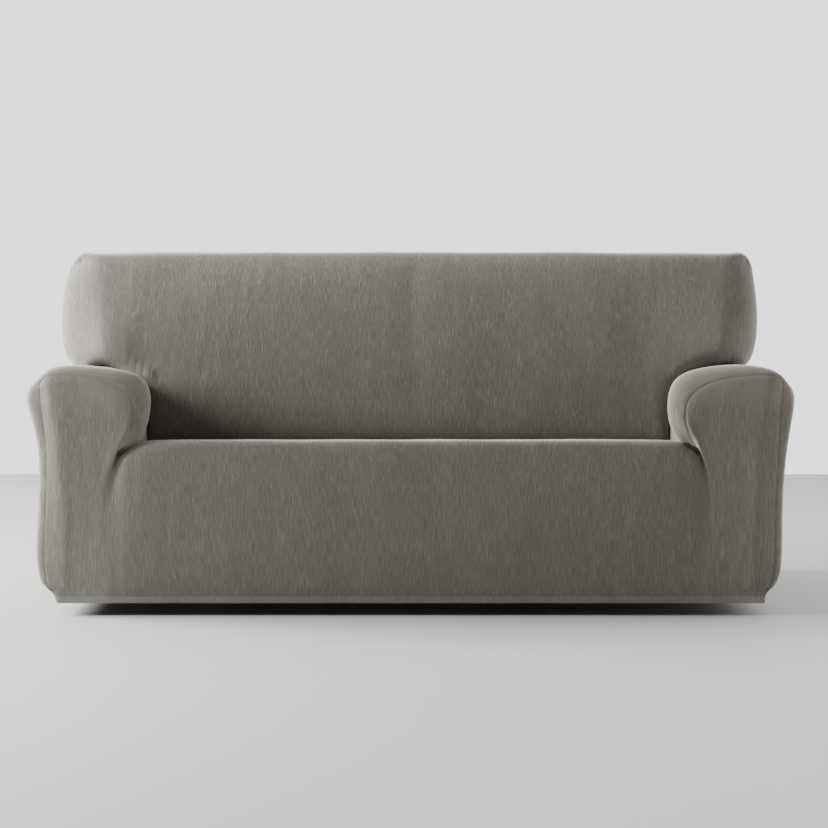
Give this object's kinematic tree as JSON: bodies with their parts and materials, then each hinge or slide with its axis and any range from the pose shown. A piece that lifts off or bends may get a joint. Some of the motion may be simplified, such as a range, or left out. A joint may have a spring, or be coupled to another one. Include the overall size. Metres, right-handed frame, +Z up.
{
  "type": "sofa slipcover",
  "caption": "Fitted stretch cover for a sofa with rolled arms and a wide winged back, hollow and open underneath.",
  "frame": {"origin": "the mount sofa_top: the underside of the cloth in the middle of the top of the back, where the sofa carries it", "axes": "+X across the sofa, to the right as seen from the front; +Y to the rear; +Z up"},
  "size_m": [2.0434, 0.9092, 0.9245],
  "materials": {
    "stretch_cloth": "matt, mottled warm grey with fine raised lengthwise crinkles"
  },
  "bodies": {
    "root": {"seat_and_front": "stretch_cloth", "left_arm": "stretch_cloth", "right_arm": "stretch_cloth", "inside_back": "stretch_cloth", "outside_back": "stretch_cloth"}
  },
  "joints": []
}
